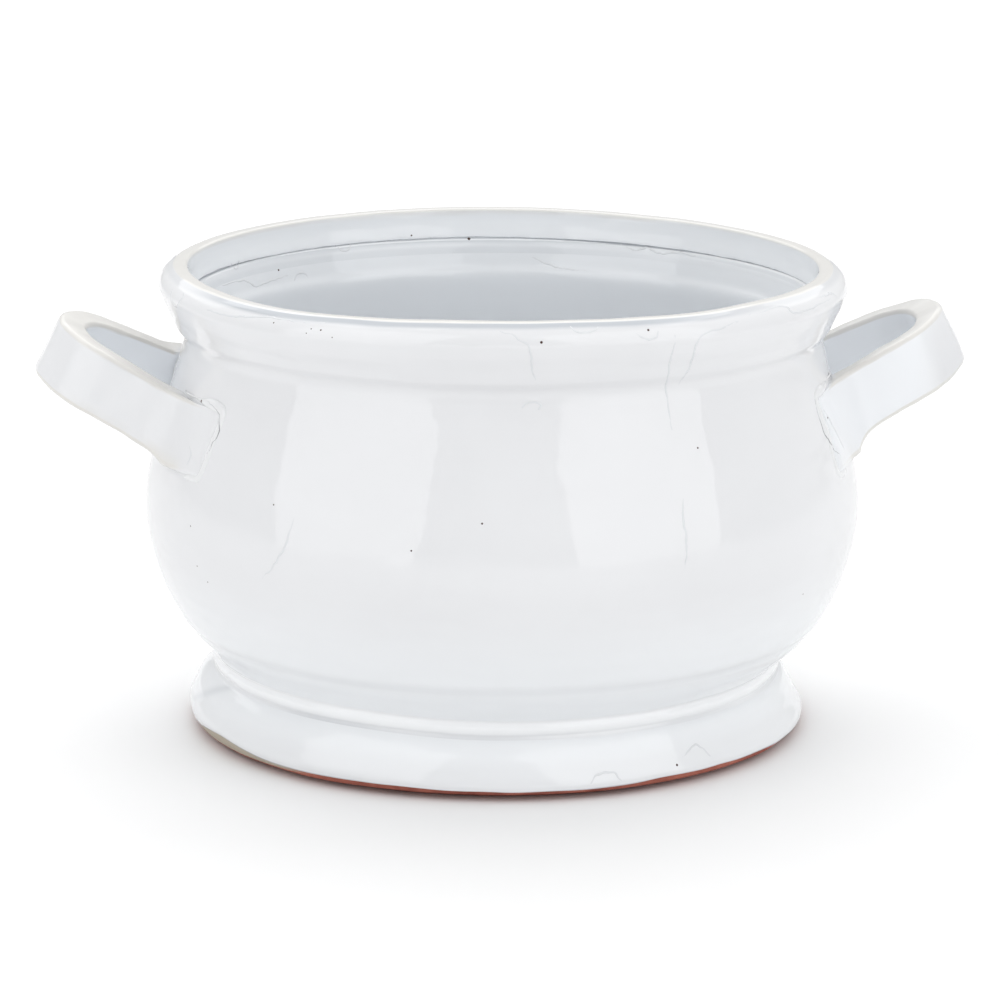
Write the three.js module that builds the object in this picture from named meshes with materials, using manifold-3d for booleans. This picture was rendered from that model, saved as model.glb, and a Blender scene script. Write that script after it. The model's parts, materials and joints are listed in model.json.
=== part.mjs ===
// Footed bowl: a wheel-thrown earthenware bowl on a flared foot ring, with two strap handles.
// Millimetres, +Z up. The origin is the centre of the foot's resting face, and the handles lie along X.

import * as THREE from "three";
import { mergeVertices } from "three/addons/utils/BufferGeometryUtils.js";
import Module from "manifold-3d";

// Slip line between two pieces that are luted together
const SEAM_GAP = 0.3;

// Flared foot ring under the floor
const FOOT_HEIGHT = 24;
const FOOT_RADIUS = 118.4;
const FOOT_BULGE = 5;
const FOOT_EDGE = 1.6;
const FOOT_REST = 12;
const FOOT_WALL = 11;

// Roll of clay in the crease between bowl and foot
const COIL_RADIUS = 3;

// Thrown wall: radius of each place where the outside turns, and its rise from the place below
const BASE_RADIUS = 109.5;
const HIP_RADIUS = 125;
const HIP_RISE = 19;
const FLANK_RADIUS = 134.5;
const FLANK_RISE = 22;
const BELLY_RADIUS = 137;
const BELLY_RISE = 23;
const SHOULDER_RADIUS = 131.6;
const SHOULDER_RISE = 27;
const NECK_RADIUS = 122.6;
const NECK_RISE = 30;
const COLLAR_RADIUS = 125.3;
const COLLAR_RISE = 9;
const SEAT_RISE = 9.4;
const WALL = 9;
const FLOOR = 11;
const FLOOR_FILLET = 20;

// Rolled rim on the collar, with the ledge that the collar leaves inside it
const RIM_RADIUS = 130.4;
const RIM_OVERHANG = 0.8;
const RIM_THICKNESS = 11;
const RIM_SKIRT = 5;
const RIM_CROWN = 7;
const RIM_LEDGE = 3;

// Strap handles: where a strap's middle plane meets the wall above the shoulder, its reach and its angles
const HANDLE_RISE = 9.5;
const HANDLE_REACH = 51.5;
const HANDLE_TILT = THREE.MathUtils.degToRad(26);
const HANDLE_SPLAY = THREE.MathUtils.degToRad(16);
const HANDLE_BEND = 25;
const STRAP_WIDTH = 24;
const STRAP_THICKNESS = 10;
const STRAP_EDGE = 2.6;
const ROOT_WIDTH = 28;
const ROOT_SPREAD = 16;
const ROOT_SINK = 30;
const ROOT_TAIL = 24;

// Bead of clay and slip pressed round each handle root
const LUTING_RADIUS = 2.8;

// Facets
const TURN_STEPS = 48;
const WALL_STEPS = 20;
const BEND_STEPS = 12;
const ARM_STEPS = 9;
const CORNER_STEPS = 3;
const BEAD_SIDES = 8;

const wasm = await Module();
wasm.setup();

// Joins shared corners and drops the empty triangles that a pole leaves.
function weld(geometry) {
  geometry.deleteAttribute("normal");
  geometry.deleteAttribute("uv");
  const merged = mergeVertices(geometry, 1e-4);
  const index = merged.getIndex().array;
  const kept = [];
  for (let i = 0; i < index.length; i += 3) {
    const [a, b, c] = index.slice(i, i + 3);
    if (a !== b && b !== c && c !== a) kept.push(a, b, c);
  }
  merged.setIndex(kept);
  return merged;
}

function toSolid(geometry) {
  const welded = weld(geometry);
  const vertProperties = new Float32Array(welded.getAttribute("position").array);
  const triVerts = new Uint32Array(welded.getIndex().array);
  return new wasm.Manifold(new wasm.Mesh({ numProp: 3, vertProperties, triVerts }));
}

function toGeometry(solid) {
  const mesh = solid.getMesh();
  const geometry = new THREE.BufferGeometry();
  geometry.setAttribute("position", new THREE.BufferAttribute(mesh.vertProperties, 3));
  geometry.setIndex(new THREE.BufferAttribute(mesh.triVerts, 1));
  geometry.computeVertexNormals();
  return geometry;
}

// Turns an outline of radius and height round the Z axis, as clay turns on the wheel.
function turned(outline) {
  const lathe = new THREE.LatheGeometry(outline, TURN_STEPS);
  lathe.rotateX(Math.PI / 2);
  return toSolid(lathe);
}

// Skins a row of rings that have the same number of points. An open row gets end caps.
function skinned(rings, closed) {
  const sides = rings[0].length;
  const position = rings.flat().flatMap((point) => point.toArray());
  const index = [];
  const spans = closed ? rings.length : rings.length - 1;
  for (let i = 0; i < spans; i++) {
    const here = i * sides;
    const next = ((i + 1) % rings.length) * sides;
    for (let k = 0; k < sides; k++) {
      const after = (k + 1) % sides;
      index.push(here + k, next + after, here + after);
      index.push(here + k, next + k, next + after);
    }
  }
  const last = (rings.length - 1) * sides;
  for (let k = 1; k < sides - 1 && !closed; k++) {
    index.push(0, k, k + 1);
    index.push(last, last + k + 1, last + k);
  }
  const geometry = new THREE.BufferGeometry();
  geometry.setAttribute("position", new THREE.Float32BufferAttribute(position, 3));
  geometry.setIndex(index);
  return toSolid(geometry);
}

// Outside of the thrown wall, from the foot's crease to the seat of the rim
const baseHeight = FOOT_HEIGHT + SEAM_GAP;
const hipHeight = baseHeight + HIP_RISE;
const flankHeight = hipHeight + FLANK_RISE;
const bellyHeight = flankHeight + BELLY_RISE;
const shoulderHeight = bellyHeight + SHOULDER_RISE;
const neckHeight = shoulderHeight + NECK_RISE;
const collarHeight = neckHeight + COLLAR_RISE;
const wallTop = collarHeight + SEAT_RISE;
const rimSeat = wallTop + SEAM_GAP;
const wallCurve = new THREE.SplineCurve([
  new THREE.Vector2(BASE_RADIUS, baseHeight),
  new THREE.Vector2(HIP_RADIUS, hipHeight),
  new THREE.Vector2(FLANK_RADIUS, flankHeight),
  new THREE.Vector2(BELLY_RADIUS, bellyHeight),
  new THREE.Vector2(SHOULDER_RADIUS, shoulderHeight),
  new THREE.Vector2(NECK_RADIUS, neckHeight),
  new THREE.Vector2(COLLAR_RADIUS, collarHeight),
  new THREE.Vector2(RIM_RADIUS - RIM_OVERHANG, wallTop),
]);
const wallOutline = wallCurve.getPoints(WALL_STEPS);

function wallRadius(height) {
  for (let i = 1; i < wallOutline.length; i++) {
    const low = wallOutline[i - 1];
    const high = wallOutline[i];
    if (height <= high.y) {
      return THREE.MathUtils.mapLinear(height, low.y, high.y, low.x, high.x);
    }
  }
  return wallOutline.at(-1).x;
}

// The wall filled to its axis and grown by a margin, which trims whatever is luted to it
function wallTrim(margin) {
  const outline = wallOutline.map((point) => new THREE.Vector2(point.x + margin, point.y));
  const below = new THREE.Vector2(0, baseHeight);
  const above = new THREE.Vector2(0, wallTop);
  return turned([below, ...outline, above]);
}

// Coil of clay in the foot's crease, and the groove that it beds in
function creaseCoil(radius) {
  const ring = new THREE.Path();
  ring.absarc(BASE_RADIUS, FOOT_HEIGHT + SEAM_GAP / 2, radius, 0, 2 * Math.PI, false);
  return turned(ring.getPoints(BEAD_SIDES));
}
const coilGroove = creaseCoil(COIL_RADIUS + SEAM_GAP);

function bowlBody() {
  const floorTop = baseHeight + FLOOR;
  const inside = [new THREE.Vector2(RIM_RADIUS - RIM_THICKNESS - RIM_LEDGE, wallTop)];
  for (let i = WALL_STEPS; i > 0; i--) {
    const outer = wallOutline[i];
    const along = wallCurve.getTangent(i / WALL_STEPS);
    const inner = new THREE.Vector2(outer.x - WALL * along.y, outer.y + WALL * along.x);
    if (outer.y <= neckHeight && inner.y > floorTop + FLOOR_FILLET) inside.push(inner);
  }
  const [above, lowest] = inside.slice(-2);
  const slope = (above.x - lowest.x) / (above.y - lowest.y);
  const corner = new THREE.Vector2(lowest.x - slope * (lowest.y - floorTop), floorTop);
  const flat = new THREE.Vector2(corner.x - FLOOR_FILLET, floorTop);
  const fillet = new THREE.QuadraticBezierCurve(lowest, corner, flat).getPoints(CORNER_STEPS + 1);
  const under = new THREE.Vector2(0, baseHeight);
  const centre = new THREE.Vector2(0, floorTop);
  return turned([under, ...wallOutline, ...inside, ...fillet.slice(1), centre]).subtract(coilGroove);
}

function rimRoll() {
  const middle = RIM_RADIUS - RIM_THICKNESS / 2;
  const section = new THREE.Path();
  section.moveTo(RIM_RADIUS - RIM_THICKNESS, rimSeat);
  section.lineTo(RIM_RADIUS, rimSeat);
  section.absellipse(middle, rimSeat + RIM_SKIRT, RIM_THICKNESS / 2, RIM_CROWN, 0, Math.PI, false, 0);
  section.closePath();
  return turned(section.getPoints(CORNER_STEPS));
}

function footRing() {
  const restOuter = FOOT_RADIUS - FOOT_EDGE;
  const section = new THREE.Path();
  section.moveTo(restOuter - FOOT_REST, 0);
  section.lineTo(restOuter, 0);
  section.quadraticCurveTo(FOOT_RADIUS, 0, FOOT_RADIUS, FOOT_BULGE);
  const bend = (FOOT_BULGE + FOOT_HEIGHT) / 2;
  section.bezierCurveTo(FOOT_RADIUS, bend, BASE_RADIUS, bend, BASE_RADIUS, FOOT_HEIGHT);
  section.lineTo(BASE_RADIUS - FOOT_WALL, FOOT_HEIGHT);
  section.closePath();
  return turned(section.getPoints(2 * CORNER_STEPS)).subtract(coilGroove);
}

// Strap handle on the +X side, as rings of a rounded flat section along its bent loop
function strapRings(margin) {
  const handleHeight = shoulderHeight + HANDLE_RISE;
  const bendOut = HANDLE_REACH - STRAP_THICKNESS / 2 - HANDLE_BEND;
  const armLength = (bendOut + HANDLE_BEND * Math.sin(HANDLE_SPLAY) + ROOT_SINK) / Math.cos(HANDLE_SPLAY);
  const turn = Math.PI / 2 - HANDLE_SPLAY;
  const stations = [{ angle: -turn, run: 1, tail: ROOT_TAIL }];
  for (let i = 0; i < ARM_STEPS; i++) stations.push({ angle: -turn, run: 1 - i / ARM_STEPS, tail: 0 });
  for (let i = 0; i <= BEND_STEPS; i++) {
    stations.push({ angle: THREE.MathUtils.lerp(-turn, turn, i / BEND_STEPS), run: 0, tail: 0 });
  }
  for (let i = 1; i <= ARM_STEPS; i++) stations.push({ angle: turn, run: i / ARM_STEPS, tail: 0 });
  stations.push({ angle: turn, run: 1, tail: ROOT_TAIL });
  const seat = new THREE.Vector3(wallRadius(handleHeight), 0, handleHeight);
  const out = new THREE.Vector3(Math.cos(HANDLE_TILT), 0, Math.sin(HANDLE_TILT));
  const across = new THREE.Vector3(0, 1, 0);
  const up = new THREE.Vector3(-Math.sin(HANDLE_TILT), 0, Math.cos(HANDLE_TILT));
  return stations.map(({ angle, run, tail }) => {
    const normal = out.clone().multiplyScalar(Math.cos(angle)).addScaledVector(across, Math.sin(angle));
    const back = out.clone().multiplyScalar(-Math.cos(HANDLE_SPLAY));
    back.addScaledVector(across, Math.sign(angle) * Math.sin(HANDLE_SPLAY));
    const middle = seat.clone().addScaledVector(out, bendOut);
    middle.addScaledVector(normal, HANDLE_BEND).addScaledVector(back, run * armLength + tail);
    const flare = THREE.MathUtils.smoothstep(run, 0, 1);
    const width = THREE.MathUtils.lerp(STRAP_WIDTH, ROOT_WIDTH, flare);
    const spread = ROOT_SPREAD * flare * flare;
    return strapSection(STRAP_THICKNESS / 2 + margin, width / 2 + margin).map((point) =>
      middle.clone()
        .addScaledVector(normal, point.x > 0 ? point.x + spread : point.x)
        .addScaledVector(up, point.y));
  });
}

// Flat section with round edges, half its thickness and half its width from the middle
function strapSection(half, halfWidth) {
  const edge = Math.min(STRAP_EDGE, 0.9 * half);
  const points = [];
  const corners = [[1, 1], [-1, 1], [-1, -1], [1, -1]];
  corners.forEach(([x, y], quarter) => {
    for (let i = 0; i <= CORNER_STEPS; i++) {
      const angle = (quarter + i / CORNER_STEPS) * Math.PI / 2;
      points.push(new THREE.Vector2(
        x * (half - edge) + edge * Math.cos(angle),
        y * (halfWidth - edge) + edge * Math.sin(angle)));
    }
  });
  return points;
}

const handleRings = strapRings(0);
const rootTrim = wallTrim(SEAM_GAP);
const strapTrim = skinned(strapRings(SEAM_GAP), false);

function strapHandle() {
  return skinned(handleRings, false).subtract(rootTrim);
}

// Line where one arm of the strap enters the wall, edge by edge, from the arm's end outwards
function rootLine(rings) {
  const depth = (point) => Math.hypot(point.x, point.y) - wallRadius(point.z);
  return rings[0].map((start, k) => {
    const exit = rings.findIndex((ring) => depth(ring[k]) > 0);
    const inside = rings[exit - 1][k];
    const outside = rings[exit][k];
    const share = depth(inside) / (depth(inside) - depth(outside));
    return inside.clone().lerp(outside, share);
  });
}

function rootLuting(rings) {
  const line = new THREE.CatmullRomCurve3(rootLine(rings), true);
  const count = 2 * rings[0].length;
  const frames = line.computeFrenetFrames(count, true);
  const beadRings = [];
  for (let i = 0; i < count; i++) {
    const middle = line.getPointAt(i / count);
    const ring = [];
    for (let k = 0; k < BEAD_SIDES; k++) {
      const angle = -2 * Math.PI * k / BEAD_SIDES;
      ring.push(middle.clone()
        .addScaledVector(frames.normals[i], LUTING_RADIUS * Math.cos(angle))
        .addScaledVector(frames.binormals[i], LUTING_RADIUS * Math.sin(angle)));
    }
    beadRings.push(ring);
  }
  return skinned(beadRings, true).subtract(rootTrim).subtract(strapTrim);
}

const WHITE_GLAZE = { color: 0xebecee, roughness: 0.16, metalness: 0 };
const THIN_GLAZE = { color: 0xefeee9, roughness: 0.2, metalness: 0 };

function piece(name, solid, finish) {
  const mesh = new THREE.Mesh(toGeometry(solid), new THREE.MeshStandardMaterial(finish));
  mesh.name = name;
  return mesh;
}

const bowl = new THREE.Group();
bowl.add(piece("bowl_body", bowlBody(), WHITE_GLAZE));
bowl.add(piece("rim_roll", rimRoll(), THIN_GLAZE));
bowl.add(piece("foot_ring", footRing(), WHITE_GLAZE));
bowl.add(piece("foot_luting_coil", creaseCoil(COIL_RADIUS), THIN_GLAZE));

// The left handle is the right one turned half way round the bowl, so its front arm is the other's back arm.
const sides = [
  { side: "right", facing: 0, nearArm: "front", farArm: "back" },
  { side: "left", facing: Math.PI, nearArm: "back", farArm: "front" },
];
for (const { side, facing, nearArm, farArm } of sides) {
  const handle = new THREE.Group();
  handle.rotation.z = facing;
  handle.add(piece(`handle_${side}`, strapHandle(), WHITE_GLAZE));
  handle.add(piece(`handle_${side}_${nearArm}_luting`, rootLuting(handleRings), THIN_GLAZE));
  handle.add(piece(`handle_${side}_${farArm}_luting`, rootLuting(handleRings.toReversed()), THIN_GLAZE));
  bowl.add(handle);
}

export default bowl;
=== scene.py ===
import json
import math

import bpy
from mathutils import Matrix, Vector, noise
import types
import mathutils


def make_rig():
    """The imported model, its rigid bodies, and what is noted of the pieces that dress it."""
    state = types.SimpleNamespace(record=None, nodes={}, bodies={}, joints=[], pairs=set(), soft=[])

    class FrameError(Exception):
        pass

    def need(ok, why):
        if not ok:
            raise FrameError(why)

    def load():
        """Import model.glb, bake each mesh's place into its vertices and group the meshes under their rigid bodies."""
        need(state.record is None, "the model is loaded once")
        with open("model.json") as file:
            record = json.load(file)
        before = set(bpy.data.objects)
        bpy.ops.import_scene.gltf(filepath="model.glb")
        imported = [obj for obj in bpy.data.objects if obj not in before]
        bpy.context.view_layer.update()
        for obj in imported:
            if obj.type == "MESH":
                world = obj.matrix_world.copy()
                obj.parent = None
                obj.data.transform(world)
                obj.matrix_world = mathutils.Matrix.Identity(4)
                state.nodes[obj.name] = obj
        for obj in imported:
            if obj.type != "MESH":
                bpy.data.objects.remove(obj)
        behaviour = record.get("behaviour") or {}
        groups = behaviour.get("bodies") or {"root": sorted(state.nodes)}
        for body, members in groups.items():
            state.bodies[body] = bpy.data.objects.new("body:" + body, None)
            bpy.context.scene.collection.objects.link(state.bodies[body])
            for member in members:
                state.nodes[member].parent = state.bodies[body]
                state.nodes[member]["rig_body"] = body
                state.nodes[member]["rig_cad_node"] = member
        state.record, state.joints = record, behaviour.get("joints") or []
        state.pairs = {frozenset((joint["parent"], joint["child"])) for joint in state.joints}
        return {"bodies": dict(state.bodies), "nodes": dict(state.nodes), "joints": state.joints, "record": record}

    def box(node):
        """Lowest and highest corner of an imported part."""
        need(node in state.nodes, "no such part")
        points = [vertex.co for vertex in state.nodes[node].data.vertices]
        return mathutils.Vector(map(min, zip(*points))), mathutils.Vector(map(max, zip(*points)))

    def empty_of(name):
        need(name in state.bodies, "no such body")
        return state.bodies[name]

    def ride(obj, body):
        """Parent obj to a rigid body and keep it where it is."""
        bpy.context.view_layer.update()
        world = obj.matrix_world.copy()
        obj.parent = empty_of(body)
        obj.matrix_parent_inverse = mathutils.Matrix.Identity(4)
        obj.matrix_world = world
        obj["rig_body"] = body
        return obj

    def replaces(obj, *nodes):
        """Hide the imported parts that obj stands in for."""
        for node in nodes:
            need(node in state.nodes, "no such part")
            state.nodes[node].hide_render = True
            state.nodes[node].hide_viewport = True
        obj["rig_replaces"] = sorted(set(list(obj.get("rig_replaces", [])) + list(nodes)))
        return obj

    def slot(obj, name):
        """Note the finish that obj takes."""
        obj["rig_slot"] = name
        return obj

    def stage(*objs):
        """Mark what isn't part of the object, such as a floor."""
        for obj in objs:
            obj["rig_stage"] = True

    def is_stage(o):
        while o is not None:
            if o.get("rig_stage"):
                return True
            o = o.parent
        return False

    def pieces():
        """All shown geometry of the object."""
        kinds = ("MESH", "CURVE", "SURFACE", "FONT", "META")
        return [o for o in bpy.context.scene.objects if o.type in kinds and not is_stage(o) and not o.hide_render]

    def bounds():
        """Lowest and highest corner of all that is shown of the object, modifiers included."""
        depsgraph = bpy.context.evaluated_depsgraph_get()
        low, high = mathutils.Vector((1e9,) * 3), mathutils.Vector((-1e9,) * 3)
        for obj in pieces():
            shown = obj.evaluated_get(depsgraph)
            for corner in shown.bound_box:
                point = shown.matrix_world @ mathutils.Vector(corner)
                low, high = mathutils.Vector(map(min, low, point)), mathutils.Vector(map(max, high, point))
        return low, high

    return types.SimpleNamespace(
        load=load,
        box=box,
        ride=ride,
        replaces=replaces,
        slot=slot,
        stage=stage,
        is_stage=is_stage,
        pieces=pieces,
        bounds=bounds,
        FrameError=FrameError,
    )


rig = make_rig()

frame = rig.load()
cad_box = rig.bounds()

# The thrown bowl: one wall of red earthenware, pulled up on the wheel from its floor to the collar.
# The outside is a round belly with a cove above the foot and a creased neck, under an opaque white glaze.
# The floor's underside, inside the foot, is left as bare clay.

MM = 0.001
wall_low, wall_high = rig.box("bowl_body")
BELLY_RADIUS = wall_high.x
BASE_HEIGHT = wall_low.z
SEAT_HEIGHT = wall_high.z
TURNS = 300

OUTSIDE = [
    (108.7 * MM, BASE_HEIGHT),
    (125.0 * MM, 43.3 * MM),
    (134.5 * MM, 65.3 * MM),
    (BELLY_RADIUS, 88.3 * MM),
    (131.6 * MM, 115.3 * MM),
    (122.6 * MM, 145.3 * MM),
    (125.3 * MM, 154.3 * MM),
    (129.6 * MM, SEAT_HEIGHT),
]
INSIDE = [
    (118.5 * MM, SEAT_HEIGHT),
    (115.6 * MM, 155.0 * MM),
    (113.6 * MM, 146.0 * MM),
    (122.8 * MM, 112.0 * MM),
    (128.0 * MM, 87.0 * MM),
    (124.6 * MM, 66.0 * MM),
    (108.0 * MM, 43.0 * MM),
    (84.0 * MM, 35.6 * MM),
    (40.0 * MM, 35.3 * MM),
    (0.0, 35.3 * MM),
]
# Lines left by the tools on the outside: height, depth (a ridge where positive) and half width
TOOL_LINES = [
    (39.6 * MM, -0.35 * MM, 1.3 * MM),
    (42.4 * MM, 0.2 * MM, 2.0 * MM),
    (143.6 * MM, 0.22 * MM, 2.6 * MM),
]


def curve_through(stations, per_span):
    """Points of a smooth curve through given stations, each a radius and a height."""
    first = [2 * a - b for a, b in zip(stations[0], stations[1])]
    last = [2 * a - b for a, b in zip(stations[-1], stations[-2])]
    held = [first, *stations, last]
    points = []
    for before, start, end, after in zip(held, held[1:], held[2:], held[3:]):
        for step in range(per_span):
            t = step / per_span
            points.append([
                0.5 * (2 * b + (c - a) * t + (2 * a - 5 * b + 4 * c - d) * t * t
                       + (3 * b - a - 3 * c + d) * t ** 3)
                for a, b, c, d in zip(before, start, end, after)
            ])
    return [*points, list(stations[-1])]


def with_tool_lines(points):
    """Moves points of an outline in or out where a tool left a line."""
    marked = []
    for radius, height in points:
        for line_height, depth, half_width in TOOL_LINES:
            radius += depth * math.exp(-((height - line_height) / half_width) ** 2)
        marked.append((radius, height))
    return marked


def drawn_line(places):
    """Draws a line by extruding one point from place to place, and stays in edit mode."""
    bpy.ops.object.select_all(action="DESELECT")
    bpy.ops.mesh.primitive_plane_add(size=MM, enter_editmode=True)
    bpy.ops.mesh.select_mode(type="VERT")
    bpy.ops.mesh.select_all(action="SELECT")
    bpy.ops.mesh.merge(type="CENTER")
    at = Vector((0.0, 0.0, 0.0))
    for index, place in enumerate(places):
        step = place - at
        if index == 0:
            bpy.ops.transform.translate(value=step)
        else:
            bpy.ops.mesh.extrude_region_move(TRANSFORM_OT_translate={"value": step})
        at += step


def thrown(name, outline, closed=False):
    """Draws an outline and spins it round the wheel's axis."""
    path = [*outline, outline[0]] if closed else outline
    drawn_line([Vector((radius, 0.0, height)) for radius, height in path])
    bpy.ops.mesh.select_all(action="SELECT")
    bpy.ops.mesh.spin(steps=TURNS, angle=2 * math.pi, center=(0, 0, 0), axis=(0, 0, 1))
    bpy.ops.mesh.select_all(action="SELECT")
    bpy.ops.mesh.remove_doubles(threshold=0.005 * MM)
    bpy.ops.mesh.normals_make_consistent(inside=False)
    bpy.ops.object.mode_set(mode="OBJECT")
    piece = bpy.context.object
    piece.name = name
    piece.data.name = name
    bpy.ops.object.shade_smooth()
    return piece


def pick(piece):
    """Selects one piece and nothing else."""
    bpy.ops.object.select_all(action="DESELECT")
    bpy.context.view_layer.objects.active = piece
    piece.select_set(True)


def uneven(piece, strength, size, flatten=1.0):
    """Presses the soft swells of hand work into a piece. Flatten squeezes them into level bands."""
    grain = bpy.data.textures.new(piece.name + "_swell", "CLOUDS")
    grain.noise_scale = size
    grain.noise_depth = 1
    bpy.ops.object.select_all(action="DESELECT")
    bpy.ops.object.empty_add()
    guide = bpy.context.object
    guide.scale = (1.0, 1.0, flatten)
    pick(piece)
    bpy.ops.object.modifier_add(type="DISPLACE")
    swell = piece.modifiers[-1]
    swell.texture = grain
    swell.texture_coords = "OBJECT"
    swell.texture_coords_object = guide
    swell.strength = strength
    swell.mid_level = 0.5
    bpy.ops.object.modifier_apply(modifier=swell.name)
    bpy.data.objects.remove(guide)


SWELL_DEPTH = 0.7 * MM
SWELL_SIZE = 60 * MM
BAND_DEPTH = 0.35 * MM
BAND_SIZE = 26 * MM
BAND_FLATTEN = 0.2


def hand_swells(piece):
    """Presses in the swells and level bands that hands leave in clay on the wheel."""
    uneven(piece, SWELL_DEPTH, SWELL_SIZE)
    uneven(piece, BAND_DEPTH, BAND_SIZE, BAND_FLATTEN)


def settle(piece, slot, *nodes):
    """Fixes a piece to the pot, in place of the nodes that it stands for."""
    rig.ride(piece, "root")
    if nodes:
        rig.replaces(piece, *nodes)
    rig.slot(piece, slot)


CLOUD_SHADE = 0.965


def white_glaze(name, body, thin, pooled_and_shade, thick, roughness):
    """Glossy opaque glaze: creamy where thin, blue-grey for pooling glaze and for painted shade, and paler where light
    is painted in.
    """
    finish = bpy.data.materials.new(name)
    finish.use_nodes = True
    nodes = finish.node_tree.nodes
    link = finish.node_tree.links.new
    shader = nodes["Principled BSDF"]
    place = nodes.new("ShaderNodeTexCoord")

    cloud = nodes.new("ShaderNodeTexNoise")
    cloud.inputs["Scale"].default_value = 16.0
    cloud.inputs["Detail"].default_value = 3.0
    link(place.outputs["Object"], cloud.inputs["Vector"])
    tone = nodes.new("ShaderNodeValToRGB")
    tone.color_ramp.elements[0].position = 0.3
    tone.color_ramp.elements[0].color = (*[c * CLOUD_SHADE for c in body], 1.0)
    tone.color_ramp.elements[1].position = 0.7
    tone.color_ramp.elements[1].color = (*body, 1.0)
    link(cloud.outputs["Fac"], tone.inputs["Fac"])

    # Shares stored per point: red is thin glaze, green is pooling glaze and painted shade, blue is painted light.
    coat_and_painted_light = nodes.new("ShaderNodeVertexColor")
    coat_and_painted_light.layer_name = "coat_and_painted_light"
    depth = nodes.new("ShaderNodeSeparateColor")
    link(coat_and_painted_light.outputs["Color"], depth.inputs["Color"])
    # Mixes in the paler tone that is painted in as light.
    painted_light_mix = nodes.new("ShaderNodeMixRGB")
    painted_light_mix.inputs["Color2"].default_value = (*thick, 1.0)
    link(depth.outputs["Blue"], painted_light_mix.inputs["Fac"])
    link(tone.outputs["Color"], painted_light_mix.inputs["Color1"])
    cream = nodes.new("ShaderNodeMixRGB")
    cream.inputs["Color2"].default_value = (*thin, 1.0)
    link(depth.outputs["Red"], cream.inputs["Fac"])
    link(painted_light_mix.outputs["Color"], cream.inputs["Color1"])
    # Mixes in the blue-grey of pooling glaze and painted shade.
    pool_and_shade = nodes.new("ShaderNodeMixRGB")
    pool_and_shade.inputs["Color2"].default_value = (*pooled_and_shade, 1.0)
    link(depth.outputs["Green"], pool_and_shade.inputs["Fac"])
    link(cream.outputs["Color"], pool_and_shade.inputs["Color1"])
    link(pool_and_shade.outputs["Color"], shader.inputs["Base Color"])

    mottle = nodes.new("ShaderNodeTexNoise")
    mottle.inputs["Scale"].default_value = 45.0
    mottle.inputs["Detail"].default_value = 4.0
    link(place.outputs["Object"], mottle.inputs["Vector"])
    gloss = nodes.new("ShaderNodeMapRange")
    gloss.inputs["To Min"].default_value = roughness[0]
    gloss.inputs["To Max"].default_value = roughness[1]
    link(mottle.outputs["Fac"], gloss.inputs["Value"])
    link(gloss.outputs["Result"], shader.inputs["Roughness"])

    peel = nodes.new("ShaderNodeTexNoise")
    peel.inputs["Scale"].default_value = 190.0
    peel.inputs["Detail"].default_value = 2.0
    link(place.outputs["Object"], peel.inputs["Vector"])
    skin = nodes.new("ShaderNodeBump")
    skin.inputs["Strength"].default_value = 0.06
    skin.inputs["Distance"].default_value = 0.3 * MM
    link(peel.outputs["Fac"], skin.inputs["Height"])
    link(skin.outputs["Normal"], shader.inputs["Normal"])
    shader.inputs["IOR"].default_value = 1.52
    return finish


CLAY_DARK = (0.23, 0.055, 0.035)
CLAY_LIGHT = (0.40, 0.125, 0.085)
SLIP_TONE = (0.43, 0.385, 0.31)
# Near-black painted shade for the inside of a pinhole.
PIT_SHADE_TONE = (0.028, 0.022, 0.02)


def bare_clay(name):
    """Fired red earthenware with no glaze: matt and gritty, greige under thin slip, and near black where a pit's shade
    is painted in.
    """
    finish = bpy.data.materials.new(name)
    finish.use_nodes = True
    nodes = finish.node_tree.nodes
    link = finish.node_tree.links.new
    shader = nodes["Principled BSDF"]
    place = nodes.new("ShaderNodeTexCoord")
    grit = nodes.new("ShaderNodeTexNoise")
    grit.inputs["Scale"].default_value = 120.0
    grit.inputs["Detail"].default_value = 6.0
    link(place.outputs["Object"], grit.inputs["Vector"])
    tone = nodes.new("ShaderNodeValToRGB")
    tone.color_ramp.elements[0].position = 0.32
    tone.color_ramp.elements[0].color = (*CLAY_DARK, 1.0)
    tone.color_ramp.elements[1].position = 0.68
    tone.color_ramp.elements[1].color = (*CLAY_LIGHT, 1.0)
    link(grit.outputs["Fac"], tone.inputs["Fac"])
    coat_and_painted_light = nodes.new("ShaderNodeVertexColor")
    coat_and_painted_light.layer_name = "coat_and_painted_light"
    depth = nodes.new("ShaderNodeSeparateColor")
    link(coat_and_painted_light.outputs["Color"], depth.inputs["Color"])
    smear = nodes.new("ShaderNodeMixRGB")
    smear.inputs["Color2"].default_value = (*SLIP_TONE, 1.0)
    link(depth.outputs["Red"], smear.inputs["Fac"])
    link(tone.outputs["Color"], smear.inputs["Color1"])
    # Mixes in the painted shade of a pit.
    pit_shade = nodes.new("ShaderNodeMixRGB")
    pit_shade.inputs["Color2"].default_value = (*PIT_SHADE_TONE, 1.0)
    link(depth.outputs["Green"], pit_shade.inputs["Fac"])
    link(smear.outputs["Color"], pit_shade.inputs["Color1"])
    link(pit_shade.outputs["Color"], shader.inputs["Base Color"])
    shader.inputs["Roughness"].default_value = 0.85
    tooth = nodes.new("ShaderNodeBump")
    tooth.inputs["Strength"].default_value = 0.35
    tooth.inputs["Distance"].default_value = 0.4 * MM
    link(grit.outputs["Fac"], tooth.inputs["Height"])
    link(tooth.outputs["Normal"], shader.inputs["Normal"])
    return finish


def ease(low, high, value):
    """Rises smoothly from nought at low to one at high."""
    t = min(1.0, max(0.0, (value - low) / (high - low)))
    return t * t * (3 - 2 * t)


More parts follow.
